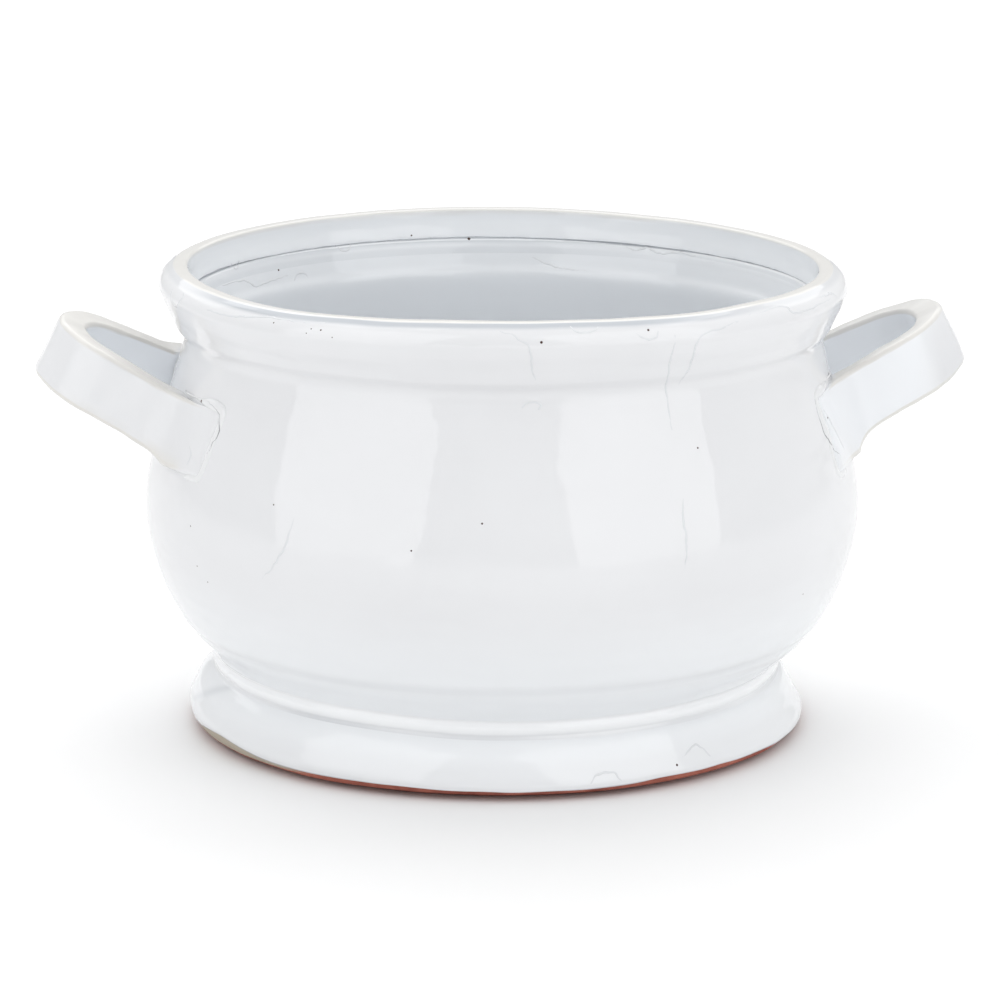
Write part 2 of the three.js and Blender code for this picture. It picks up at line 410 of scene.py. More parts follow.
def lay_glaze(piece, thickness):
    """Stores for each point the shares of thin glaze, of pooling glaze with painted shade, and of painted light, as
    thickness gives them.
    """
    # Green holds painted shade with pooling glaze, blue holds painted light.
    coat_and_painted_light = piece.data.color_attributes.new("coat_and_painted_light", "FLOAT_COLOR", "POINT")
    for point, stored in zip(piece.data.vertices, coat_and_painted_light.data):
        stored.color = (*[min(1.0, share) for share in thickness(point.co, point.normal)], 1.0)


GLAZE = (0.745, 0.752, 0.768)
CREAM = (0.685, 0.674, 0.648)
# Blue-grey for pooling glaze and painted shade, and a paler tone painted in as light.
POOL_AND_SHADE_TONE = (0.43, 0.455, 0.49)
PAINTED_LIGHT_TONE = (0.82, 0.84, 0.86)
GLOSS = (0.02, 0.06)
bowl_glaze = white_glaze("bowl_glaze", GLAZE, CREAM, POOL_AND_SHADE_TONE, PAINTED_LIGHT_TONE, GLOSS)
clay = bare_clay("red_clay")

UNDER_RING = 60 * MM
FACING_DOWN = -0.9
outside = with_tool_lines(curve_through(OUTSIDE, 14))
inside = curve_through(INSIDE, 8)
bowl = thrown("thrown_bowl", [(0.0, BASE_HEIGHT), (UNDER_RING, BASE_HEIGHT), *outside, *inside])
hand_swells(bowl)
bowl.data.materials.append(bowl_glaze)
bowl.data.materials.append(clay)
for face in bowl.data.polygons:
    if face.normal.z < FACING_DOWN and face.center.z < BASE_HEIGHT + 1.0 * MM:
        face.material_index = 1

# Heights between which painted shade darkens the inside at the neck and below it, and painted light pales the outside
# low down
FLOOR_INSIDE = 37 * MM
DIM_BAND = (130 * MM, 148 * MM)
DIM_BELOW = (142 * MM, 129 * MM)
PAINTED_LIGHT_BELOW = (78 * MM, 38 * MM)


def bowl_coat_and_painted_light(at, normal):
    """Painted shade with pooling glaze in the creases that the tools left, painted shade and painted light inside, and
    painted light low on the outside.
    """
    if normal.z < FACING_DOWN:
        return 0.0, 0.0, 0.0
    if at.x * normal.x + at.y * normal.y < 0 or at.z < FLOOR_INSIDE and normal.z > 0:
        # Inside: painted shade all over, deeper toward the neck, and the paler tone painted in as light.
        return 0.0, 0.1 + 0.13 * ease(*DIM_BAND, at.z) + 0.1 * ease(*DIM_BELOW, at.z), 1.0
    # Outside: painted shade with pooling glaze along the tool creases, and painted light low down.
    cuts = [(height, half) for height, depth, half in TOOL_LINES if depth < 0]
    deep = sum(math.exp(-((at.z - height) / half) ** 2) for height, half in cuts)
    patchy = 0.5 + 0.5 * noise.noise(Vector((at.x, at.y, 3 * at.z)) * 25)
    return 0.0, 0.2 * deep * patchy, ease(*PAINTED_LIGHT_BELOW, at.z)


lay_glaze(bowl, bowl_coat_and_painted_light)
settle(bowl, "white_glaze", "bowl_body")

# The rolled rim: a thick round lip of clay bedded on the collar and smoothed over its outside.
# Inside, its lower edge was left open, so a ragged seam runs round the mouth under the lip.
# The glaze ran off the crown and is thin and creamy there.

rim_low, rim_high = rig.box("rim_roll")
RIM_INNER = 119.4 * MM
SKIN = 0.2 * MM
SKIRT_LOW = 150 * MM
SKIRT_FULL = 156 * MM
LIP = [
    (rim_high.x + 0.25 * MM, rim_low.z + 2.3 * MM),
    (rim_high.x + 0.85 * MM, rim_low.z + 4.5 * MM),
    (rim_high.x + 0.3 * MM, rim_low.z + 6.8 * MM),
    (rim_high.x - 1.1 * MM, rim_low.z + 8.9 * MM),
    (rim_high.x - 2.9 * MM, rim_high.z - 1.6 * MM),
    (rim_high.x - 4.4 * MM, rim_high.z - 0.75 * MM),
    (rim_high.x - 5.2 * MM, rim_high.z - 0.35 * MM),
    (rim_high.x - 6.2 * MM, rim_high.z - 0.15 * MM),
    (RIM_INNER + 2.0 * MM, rim_high.z - 0.15 * MM),
    (RIM_INNER + 0.9 * MM, rim_high.z - 0.6 * MM),
    (RIM_INNER + 0.5 * MM, rim_high.z - 1.7 * MM),
    (RIM_INNER + 0.2 * MM, rim_low.z + 5.6 * MM),
    (RIM_INNER - 0.3 * MM, rim_low.z + 2.6 * MM),
    (RIM_INNER - 0.5 * MM, rim_low.z + 1.1 * MM),
    (RIM_INNER - 0.4 * MM, rim_low.z + 0.3 * MM),
    (RIM_INNER + 0.5 * MM, rim_low.z - 0.05 * MM),
    (RIM_INNER - 0.4 * MM, rim_low.z - 0.4 * MM),
    (RIM_INNER - 1.1 * MM, rim_low.z - 1.1 * MM),
]
# Where the rim sank as it dried: angle from the front in degrees, depth and half width in degrees
RIM_DIPS = [(-47.0, 1.8 * MM, 25.0), (27.0, 0.6 * MM, 10.0)]
RIM_TILT = 0.0035
RIM_BACK_RISE = 1.0 * MM
RISE_FROM = 156 * MM
RISE_FULL = 163 * MM
# The torn edge of the seam: waves to the metre and their depth, and where on the rim they fade out
RAGGED_WAVES = [(150, 0.22 * MM), (420, 0.16 * MM)]
RAGGED_TOP = 2.4 * MM
RAGGED_FULL = 1.0 * MM
LINING_TOP = rim_low.z - 1.8 * MM
LINING_END = rim_low.z - 9.0 * MM
lining = [
    (radius - SKIN + 3 * SKIN * ease(LINING_TOP, LINING_END, height), height)
    for radius, height in inside if LINING_END < height < LINING_TOP
]
skirt = [
    (radius + SKIN * (1.75 * ease(SKIRT_LOW, SKIRT_FULL, height) - 0.75), height)
    for radius, height in outside if height > SKIRT_LOW
]
bedded = [(RIM_INNER + 2.0 * MM, rim_low.z - 5.0 * MM), (skirt[0][0] - 1.5 * MM, skirt[0][1])]
rim = thrown("rolled_rim", [*skirt, *curve_through(LIP, 5), *lining, *bedded], closed=True)
for point in rim.data.vertices:
    along = Vector((point.co.x, point.co.y, 0.0))
    rise = point.co.z - rim_low.z
    if along.length < RIM_INNER + SKIN and 0.0 < rise < RAGGED_TOP:
        ragged = sum(noise.noise(along * waves) * depth for waves, depth in RAGGED_WAVES)
        point.co.z += ragged * ease(RAGGED_TOP, RAGGED_FULL, rise)
hand_swells(rim)


def from_front(at):
    """The angle of a place round the pot, in degrees from the front towards the right handle."""
    return math.degrees(math.atan2(at.x, -at.y))


for point in rim.data.vertices:
    turned = max(0.0, point.co.y) / RIM_INNER
    raised = RIM_BACK_RISE * turned ** 4 - RIM_TILT * point.co.x
    for angle, dip, half in RIM_DIPS:
        raised -= dip * math.exp(-((from_front(point.co) - angle) / half) ** 2)
    point.co.z += raised * ease(RISE_FROM, RISE_FULL, point.co.z)
rim.data.materials.append(bowl_glaze)

CROWN_REACH = rim_high.x - 5.0 * MM
# Angles from the front over which the painted shade under the crown comes and goes, and a stretch inside where the
# painted shade in the seam is lighter
UNDER_COMES = (-74, -54)
UNDER_GOES = (44, 16)
PALE_COMES = (90, 102)
PALE_GOES = (150, 140)


def rim_coat_and_painted_light(at, normal):
    """Thin on the flat crown; painted shade under its outer edge, toward the back of the crown, in and below the seam
    and under the inner edge; painted light on the inner face.
    """
    reach = math.hypot(at.x, at.y)
    wobble = 0.3 * MM * noise.noise(Vector((at.x, at.y, 0.0)) * 40)
    edge = CROWN_REACH + wobble
    around = from_front(at)
    crown = ease(rim_high.z - 2.2 * MM, rim_high.z - 1.2 * MM, at.z)
    thin = crown * ease(edge + 0.5 * MM, edge - 0.3 * MM, reach)
    thin *= ease(0.35 * MM, 0.9 * MM, reach - RIM_INNER)
    if reach > RIM_INNER + 1.2 * MM:
        # A band of painted shade under the crown's outer edge, and a little painted shade on the crown toward the
        # back.
        under = ease(-0.1 * MM, 0.5 * MM, reach - edge) * ease(3.6 * MM, 1.6 * MM, reach - edge)
        under *= ease(rim_low.z + 6 * MM, rim_low.z + 8 * MM, at.z)
        under *= 0.3 + 0.7 * ease(*UNDER_COMES, around) * ease(*UNDER_GOES, around)
        return thin, max(under, 0.12 * thin * ease(20 * MM, 90 * MM, at.y)), 0.0
    # Painted shade in the seam and below it, and a little under the inner edge; the inner face takes painted light.
    groove = math.exp(-((at.z - rim_low.z - 0.15 * MM) / (0.5 * MM)) ** 2)
    deep = 0.65 * groove * ease(RIM_INNER - 0.6 * MM, RIM_INNER + 0.2 * MM, reach)
    if at.z < rim_low.z:
        deep = max(deep, 0.6 * math.exp((at.z - rim_low.z) / (1.3 * MM)),
                   0.3 * ease(rim_low.z - 0.5 * MM, rim_low.z - 2.5 * MM, at.z))
    deep *= 1.0 - 0.35 * ease(*PALE_COMES, around) * ease(*PALE_GOES, around)
    inner_edge = 0.08 * ease(4.5 * MM, 2.2 * MM, rim_high.z - at.z)
    return thin, max(deep, inner_edge * (1.0 - thin)), 1.0 - thin


lay_glaze(rim, rim_coat_and_painted_light)
settle(rim, "white_glaze", "rim_roll")

# The foot: a flared hollow ring of bare red clay, luted under the floor, that the pot stands on.
# Its glaze coat stops in a wavy edge just short of the resting face.

foot_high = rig.box("foot_ring")[1]
STAND = 2.6 * MM
FOOT_OUTSIDE = [
    (106.0 * MM, foot_high.z),
    (107.2 * MM, 20.8 * MM),
    (108.4 * MM, 19.2 * MM),
    (110.3 * MM, 17.7 * MM),
    (112.4 * MM, 15.5 * MM),
    (114.5 * MM, 12.7 * MM),
    (116.4 * MM, 9.2 * MM),
    (117.8 * MM, 6.0 * MM),
    (118.4 * MM, 3.8 * MM),
    (118.2 * MM, 1.9 * MM),
    (117.5 * MM, 0.4 * MM),
    (116.2 * MM, -0.4 * MM),
    (113.0 * MM, -1.3 * MM),
    (110.0 * MM, -STAND),
]
FOOT_INSIDE = [
    (105.6 * MM, -STAND),
    (104.6 * MM, 0.8 * MM - STAND),
    (102.0 * MM, 12.0 * MM),
    (98.5 * MM, foot_high.z),
]
foot = thrown("foot_clay", [*curve_through(FOOT_OUTSIDE, 6), *curve_through(FOOT_INSIDE, 4)], closed=True)
hand_swells(foot)
for point in foot.data.vertices:
    point.co.z = max(point.co.z, -STAND)
foot.data.materials.append(clay)

GLAZE_COAT = 0.5 * MM
COAT_DEPTH = 0.9 * MM
GLAZE_EDGE = 1.3 * MM
EDGE_DRAWN = 9.0 * MM
# Where the glaze stops higher: angle from the front in degrees, extra height and half width in degrees
EDGE_BAYS = [
    (-67.0, 3.2 * MM, 12.0),
    (-34.0, 0.8 * MM, 15.0),
    (31.0, 1.0 * MM, 15.0),
    (50.0, 0.4 * MM, 8.0),
]
EDGE_WAVES = 9.0
EDGE_WAVE_DEPTH = 0.25 * MM
SLIP_LINE = 0.4 * MM
SLIP_LEFT = (-96, -88)
SLIP_RIGHT = (-41, -50)


def glaze_edge(at):
    """The height at which the glaze on the foot stops."""
    around = Vector((at.x, at.y, 0.0)).normalized()
    bays = sum(rise * math.exp(-((from_front(at) - angle) / half) ** 2) for angle, rise, half in EDGE_BAYS)
    return GLAZE_EDGE + bays + noise.noise(around * EDGE_WAVES) * EDGE_WAVE_DEPTH


def foot_slip(at, normal):
    """Slip smeared over the clay where the glaze stops highest."""
    patch = ease(*SLIP_RIGHT, from_front(at)) * ease(*SLIP_LEFT, from_front(at))
    return patch * ease(SLIP_LINE, SLIP_LINE + 0.3 * MM, at.z), 0.0, 0.0


lay_glaze(foot, foot_slip)
settle(foot, "white_glaze", "foot_ring")

coat_line = [(radius + GLAZE_COAT, height) for radius, height in curve_through(FOOT_OUTSIDE[1:10], 7)]
foot_coat = thrown("foot_glaze", coat_line)
edge_low = coat_line[-1][1]
for point in foot_coat.data.vertices:
    near = max(0.0, 1.0 - (point.co.z - edge_low) / EDGE_DRAWN)
    point.co.z += near * (glaze_edge(point.co) - edge_low)
bpy.ops.object.modifier_add(type="SOLIDIFY")
foot_coat.modifiers[-1].thickness = COAT_DEPTH
foot_coat.modifiers[-1].offset = -1.0
bpy.ops.object.modifier_apply(modifier=foot_coat.modifiers[-1].name)
hand_swells(foot_coat)
foot_coat.data.materials.append(bowl_glaze)

CREASE = 19.2 * MM
# Angle and half width in degrees where the crease's painted shade is strongest
CREASE_DARK_ANGLE = -40.0
CREASE_DARK_HALF = 14.0
# A dark reflection painted as a streak slanting up the foot at the left: angle, height, slant and half width
REFLECTION_ANGLE = -85.0
REFLECTION_LOW = 9.0 * MM
REFLECTION_SLANT = 11.0 / (8.5 * MM)
REFLECTION_HALF = 2.2


def crease_pool_and_shade(at):
    """How much pooling glaze and painted shade lie in the crease above the foot: patchy, and most at the front left.
    """
    patchy = 0.3 + 0.6 * noise.noise(Vector((at.x, at.y, 0.0)) * 22)
    return max(0.0, patchy) + math.exp(-((from_front(at) - CREASE_DARK_ANGLE) / CREASE_DARK_HALF) ** 2)


def foot_glaze_coat_and_painted_light(at, normal):
    """Painted light all over, paler higher up; painted shade with pooling glaze at the crease, a painted shadow line
    along the lower edge and a painted dark reflection streak.
    """
    rise = at.z - glaze_edge(at)
    # A painted shadow line along the glaze's lower edge, and painted shade with pooling glaze in the crease.
    pooled_and_shade = 0.5 * ease(0.5 * MM, 0.1 * MM, rise)
    pooled_and_shade += 0.2 * crease_pool_and_shade(at) * ease(CREASE - 0.8 * MM, CREASE, at.z)
    # The dark painted reflection streak.
    reflection_here = REFLECTION_ANGLE + REFLECTION_SLANT * (at.z - REFLECTION_LOW)
    dark_reflection = math.exp(-((from_front(at) - reflection_here) / REFLECTION_HALF) ** 2)
    pooled_and_shade += 0.3 * dark_reflection * ease(REFLECTION_LOW - 2 * MM, REFLECTION_LOW, at.z)
    # Painted light, paler higher up the foot.
    return 0.0, pooled_and_shade, 0.4 + 0.3 * ease(8 * MM, 15 * MM, at.z)


lay_glaze(foot_coat, foot_glaze_coat_and_painted_light)
settle(foot_coat, "white_glaze")

# The luting coil: a roll of soft clay pressed into the crease between bowl and foot.
# It was smoothed with a wet finger, so it shows as a low bead round the waist, bright with a painted highlight.
# The foot was set on a little to the left, and higher there.

COIL = [
    (109.6 * MM, 26.2 * MM),
    (109.9 * MM, 25.6 * MM),
    (109.7 * MM, 25.0 * MM),
    (109.75 * MM, 24.3 * MM),
    (110.05 * MM, 23.4 * MM),
    (110.15 * MM, 22.5 * MM),
    (109.9 * MM, 21.5 * MM),
    (109.4 * MM, 20.5 * MM),
    (109.05 * MM, 19.7 * MM),
    (109.35 * MM, 19.0 * MM),
    (110.0 * MM, 18.3 * MM),
    (110.5 * MM, 17.6 * MM),
]
COIL_BACK = 4.0 * MM
# A paler tone painted in as light over the coil, brightest along the bead as a painted highlight that fades out at the
# left.
COIL_HIGHLIGHT_TONE = (0.88, 0.892, 0.905)
BEAD_TOP = (25.8 * MM, 24.0 * MM)
BEAD_COMES = (-92, -68)
coil_skin = curve_through(COIL, 5)
coil_back = [(radius - COIL_BACK, height) for radius, height in (coil_skin[-1], coil_skin[0])]
coil = thrown("foot_coil", [*coil_skin, *coil_back], closed=True)
hand_swells(coil)
coil_glaze = white_glaze("coil_glaze", GLAZE, CREAM, POOL_AND_SHADE_TONE, COIL_HIGHLIGHT_TONE, GLOSS)
coil.data.materials.append(coil_glaze)


def coil_coat_and_highlight(at, normal):
    """A painted highlight over the bead, fading out at the left, painted light elsewhere, and painted shade with
    pooling glaze in the crease under it.
    """
    bead = ease(*BEAD_TOP, at.z) * ease(CREASE + 0.6 * MM, CREASE + 1.8 * MM, at.z)
    pooled_and_shade = 0.35 * crease_pool_and_shade(at) * ease(CREASE + 1.2 * MM, CREASE + 0.3 * MM, at.z)
    return 0.0, pooled_and_shade, 0.45 + 0.55 * bead * ease(*BEAD_COMES, from_front(at))


lay_glaze(coil, coil_coat_and_highlight)
settle(coil, "white_glaze", "foot_luting_coil")

# How far the lower pot sits aside, in millimetres: at the floor, and what each stretch of height adds
ASIDE_AT_FLOOR = -1.5
FOOT_ASIDE = [(0.0, 9.0, -1.8), (13.0, 18.0, 1.2), (24.0, 34.0, 2.1)]
FOOT_LIFT = 1.1 * MM
# Angles from the front and heights in millimetres over which the lifted stretch comes and goes
LIFT_FRONT = (-5, -35)
LIFT_BACK = (-165, -110)
LIFT_BOTTOM = (10, 17)
LIFT_TOP = (36, 27)
for piece in (bowl, foot, foot_coat, coil):
    for point in piece.data.vertices:
        height = point.co.z / MM
        aside = ASIDE_AT_FLOOR + sum(more * ease(low, high, height) for low, high, more in FOOT_ASIDE)
        around = from_front(point.co)
        left = ease(*LIFT_FRONT, around) * ease(*LIFT_BACK, around)
        point.co.x += aside * MM
        point.co.z += FOOT_LIFT * left * ease(*LIFT_BOTTOM, height) * ease(*LIFT_TOP, height)

# The strap handles: two flat straps of clay, each bent into a loop and tilted up, luted to the shoulder.
# At each root the clay was thumbed out along the wall into a thin pad. The glaze has drawn off the edges.

SEAT_RADIUS = 128.4 * MM
SEAT_AT = 124.8 * MM
SINK = 36.0 * MM
PAD_THICK = 1.5 * MM
PAD_END = 61.0 * MM
PAD_FILLET = 13.0 * MM
PAD_SEARCH = 60 * MM
FLARE_REACH = 4.2 * MM
STRAP_ROUND = 1.9 * MM
STRAP_SLICES = 110
FOLD_ANGLE = math.radians(16)
FOLD_DEPTH = 0.4 * MM
FOLD_WIDTH = 5.0 * MM
FACE_FROM = 0.2
FACE_FULL = 0.4
BACK_PAD_SHARE = 0.5
HALVINGS = 24
PRESS_DEPTH = 1.1 * MM
PRESS_SIZE = 17 * MM
DENT_DEPTH = 0.4 * MM
DENT_SIZE = 7 * MM
SHARP_EDGE = math.radians(50)
WALL_TRIM = 0.4 * MM

wall_line = curve_through(OUTSIDE, 30)
wall_cut = [(radius - WALL_TRIM, height) for radius, height in curve_through(OUTSIDE, 8)]
wall_solid = thrown("wall_solid", [(0.0, BASE_HEIGHT), *wall_cut, (0.0, SEAT_HEIGHT)])


def wall_radius(height):
    """The radius of the wall's outside at a height."""
    for (low_radius, low), (high_radius, high) in zip(wall_line, wall_line[1:]):
        if low <= height <= high:
            return low_radius + (high_radius - low_radius) * (height - low) / max(high - low, 1e-9)
    return wall_line[0][0] if height < wall_line[0][1] else wall_line[-1][0]


def off_wall(place):
    """How far a place stands out from the wall."""
    return math.hypot(place.x, place.y) - wall_radius(place.z)


def blend(first, second, width):
    """The lesser of two distances, with the corner between them filled."""
    share = max(width - abs(first - second), 0.0) / width
    return min(first, second) - share * share * width / 4


def loop_line(bend_out, bend, turn, arm):
    """The line of a strap's loop: a bend with a straight arm at each end, drawn with curve handles."""
    bpy.ops.object.select_all(action="DESELECT")
    bpy.ops.curve.primitive_bezier_curve_add()
    loop = bpy.context.object
    route = loop.data.splines[0]
    route.bezier_points.add(3)
    grip = 4 / 3 * math.tan(turn / 4) * bend
    for point, angle, run in zip(route.bezier_points, (-turn, -turn, 0.0, turn, turn), (1, 0, 0, 0, 1)):
        middle = Vector((bend_out + bend * math.cos(angle), bend * math.sin(angle), 0.0))
        along = Vector((-math.sin(angle), math.cos(angle), 0.0))
        middle += along * arm * run * (1 if angle > 0 else -1)
        point.handle_left_type = "FREE"
        point.handle_right_type = "FREE"
        point.co = middle
        to_root = arm / 3 if run or angle else grip
        before = to_root if angle < 0 else grip
        after = to_root if angle > 0 else grip
        point.handle_left = middle - along * before
        point.handle_right = middle + along * after
    loop.data.resolution_u = 60
    return loop


def clay_bar(name, length, thick, wide):
    """A flat bar of clay with rounded edges, sliced across and along so that it can be shaped and bent."""
    bpy.ops.object.select_all(action="DESELECT")
    bpy.ops.mesh.primitive_cube_add(size=1.0, location=(length / 2, 0.0, 0.0))
    bar = bpy.context.object
    bar.name = name
    bar.data.name = name
    bar.scale = (length, thick, wide)
    bpy.ops.object.transform_apply(location=True, scale=True)
    bpy.ops.object.mode_set(mode="EDIT")
    bpy.ops.mesh.select_mode(type="EDGE")
    bpy.ops.mesh.select_all(action="DESELECT")
    bpy.ops.object.mode_set(mode="OBJECT")
    for edge in bar.data.edges:
        start, end = (bar.data.vertices[index].co for index in edge.vertices)
        edge.select = abs(start.x - end.x) > length / 2
    bpy.ops.object.mode_set(mode="EDIT")
    bpy.ops.mesh.bevel(offset=min(STRAP_ROUND, 0.4 * thick), segments=6, affect="EDGES")
    for cut in range(1, STRAP_SLICES):
        bpy.ops.mesh.select_all(action="SELECT")
        bpy.ops.mesh.bisect(plane_co=(length * cut / STRAP_SLICES, 0, 0), plane_no=(1, 0, 0))
    for share in (-0.3, -0.15, 0.0, 0.15, 0.3):
        bpy.ops.mesh.select_all(action="SELECT")
        bpy.ops.mesh.bisect(plane_co=(0, 0, wide * share), plane_no=(0, 0, 1))
    bpy.ops.mesh.select_all(action="SELECT")
    bpy.ops.mesh.normals_make_consistent(inside=False)
    bpy.ops.object.mode_set(mode="OBJECT")
    return bar


def strap_handle(name, facing, reach, tilt, lean, splay, bend, thick, wide, pad_rise, tip_swell, flare):
    """Thumbs out the ends of a bar of clay, bends it into a loop, turns it to its side and trims it."""
    splay = math.radians(splay)
    bend_out = reach - thick / 2 - bend
    arm = (bend_out + bend * math.sin(splay) + SINK) / math.cos(splay)
    turn = math.pi / 2 - splay
    length = 2 * (arm + bend * turn)
    loop = loop_line(bend_out, bend, turn, arm)
    strap = clay_bar(name, length, thick, wide)

    lean_turn = Matrix.Rotation(math.radians(lean), 3, "X")
    tilt_turn = Matrix.Rotation(-math.radians(tilt), 3, "Y")
    seat = Vector((SEAT_RADIUS, 0.0, SEAT_AT))
    aside = Vector((math.sin(splay), math.cos(splay), 0.0))
    inward = Vector((-math.cos(splay), math.sin(splay), 0.0))
    shoulder = Vector((bend_out, 0.0, 0.0)) + aside * bend

    def placed(along, aside_by, rise, back):
        """Where a place on an arm comes to lie once the strap is bent and tilted."""
        place = shoulder + inward * along + aside * aside_by + Vector((0.0, 0.0, rise))
        if not back:
            place.y = -place.y
        return seat + tilt_turn @ (lean_turn @ place)

    for point in strap.data.vertices:
        back = point.co.x > length / 2
        along = arm - min(point.co.x, length - point.co.x)
        if along < 0:
            continue
        near = math.exp(-max(0.0, off_wall(placed(along, 0.0, point.co.z, back))) / FLARE_REACH)
        point.co.z += flare * near * min(0.0, point.co.z) / (wide / 2)
        if point.co.y > -FACE_FROM * thick:
            continue
        low, high = 0.0, PAD_SEARCH
        for halving in range(HALVINGS):
            middle = (low + high) / 2
            clear = off_wall(placed(along, middle, point.co.z, back)) - PAD_THICK
            if blend(middle - thick / 2, clear, PAD_FILLET) > 0:
                high = middle
            else:
                low = middle
        end = (PAD_END - shoulder.y - inward.y * along) / aside.y
        spread = max(0.0, min(low, end) - thick / 2)
        moved = ease(-FACE_FROM * thick, -FACE_FULL * thick, point.co.y)
        point.co.y -= spread * moved
        point.co.z += spread * pad_rise * moved * (1 if (facing == 0) != back else BACK_PAD_SHARE)
    fold = length / 2 - bend * FOLD_ANGLE * (1 if facing == 0 else -1)
    for point in strap.data.vertices:
        if point.co.y < 0:
            point.co.y -= FOLD_DEPTH * math.exp(-abs(point.co.x - fold) / FOLD_WIDTH)
        else:
            point.co.y += tip_swell * ease(bend * 1.1, 0.0, abs(point.co.x - length / 2))

    bpy.ops.object.modifier_add(type="CURVE")
    strap.modifiers[-1].object = loop
    strap.modifiers[-1].deform_axis = "POS_X"
    bpy.ops.object.modifier_apply(modifier=strap.modifiers[-1].name)
    bpy.data.objects.remove(loop)
    strap.matrix_world = Matrix.Translation(seat) @ (tilt_turn @ lean_turn).to_4x4()
    bpy.ops.object.transform_apply(location=True, rotation=True)
    strap.rotation_euler = (0.0, 0.0, facing)
    bpy.ops.object.transform_apply(rotation=True)
    uneven(strap, PRESS_DEPTH, PRESS_SIZE)
    uneven(strap, DENT_DEPTH, DENT_SIZE)
    bpy.ops.object.modifier_add(type="BOOLEAN")
    strap.modifiers[-1].object = wall_solid
    strap.modifiers[-1].operation = "DIFFERENCE"
    strap.modifiers[-1].solver = "EXACT"
    bpy.ops.object.modifier_apply(modifier=strap.modifiers[-1].name)
    bpy.ops.object.shade_smooth()
    bpy.ops.object.shade_smooth_by_angle(angle=SHARP_EDGE)


STRAP_LEAN = math.radians(26)
# A paler tone painted in as light on the handles' inner faces and toward the right root.
HANDLE_PAINTED_LIGHT_TONE = (0.83, 0.86, 0.895)
HANDLE_GLOSS = (0.14, 0.26)
LOOP_MIDDLE = 0.12
FACING_IN = (-0.05, -0.35)
EDGE_RUBBED = (0.12, 0.3)
EDGE_CLEAR = (0.8 * MM, 2.2 * MM)
# Reaches along x over which the right handle gets blue-grey toward its tip and painted light toward its root
TIP_DIM = (160 * MM, 174 * MM)
ROOT_PAINTED_LIGHT = (168 * MM, 152 * MM)


def handle_coat_and_painted_light(at, normal):
    """Thin and creamy on the upper and lower edges, with painted light on the inner face; the right handle is also
    blue-grey on its inner face and toward the tip, and takes painted light toward its root.
    """
    side = 1 if at.x > 0 else -1
    across = Vector((-side * math.sin(STRAP_LEAN), 0.0, math.cos(STRAP_LEAN)))
    rubbed = abs(normal.dot(across))
    outward = Vector((at.x - side * LOOP_MIDDLE, at.y, 0.0)).normalized()
    facing_in = ease(*FACING_IN, outward.dot(normal))
    thin = ease(*EDGE_RUBBED, rubbed) * ease(*EDGE_CLEAR, off_wall(at))
    if side < 0:
        return thin, 0.0, facing_in
    tip = ease(*TIP_DIM, at.x)
    return thin, 0.15 * max(facing_in, tip), max(facing_in, 0.5 * ease(*ROOT_PAINTED_LIGHT, at.x))


handle_glaze = white_glaze("handle_glaze", GLAZE, CREAM, POOL_AND_SHADE_TONE, HANDLE_PAINTED_LIGHT_TONE, HANDLE_GLOSS)
strap_handle(
    "strap_right", facing=0.0, reach=51.3 * MM, tilt=25.5, lean=0.0, splay=14.0, bend=27.0 * MM,
    thick=8.5 * MM, wide=24.4 * MM, pad_rise=0.14, tip_swell=3.0 * MM, flare=6.0 * MM)
strap_handle(
    "strap_left", facing=math.pi, reach=50.3 * MM, tilt=27.0, lean=-4.6, splay=16.5, bend=23.4 * MM,
    thick=11.0 * MM, wide=23.6 * MM, pad_rise=0.4, tip_swell=0.0, flare=3.0 * MM)
bpy.data.objects.remove(wall_solid)
for side in ("right", "left"):
    handle = bpy.data.objects["strap_" + side]
    handle.data.materials.append(handle_glaze)
    lay_glaze(handle, handle_coat_and_painted_light)
    settle(handle, "white_glaze", "handle_" + side)

# The luting beads: rolls of soft clay pressed along each root of a strap to weld it to the shoulder.
# They were smoothed only roughly, so each stands as a low lip with a groove inside it.

BEAD_RADIUS = 2.5 * MM
BEAD_OFFSET = 1.1 * MM
BEAD_SUNK = 1.6 * MM
BEAD_SWELLS = (40 * MM, 56 * MM)
BEAD_THINNEST = 0.12
BEAD_STEP = 1.2 * MM
BEAD_LUMPS = 0.8 * MM
BEAD_LUMP_SIZE = 9 * MM
BEAD_COAT = (0.15, 0.0, 0.3)
WALL_SLICE = 1.2 * MM
WALL_GAP = 0.9 * MM


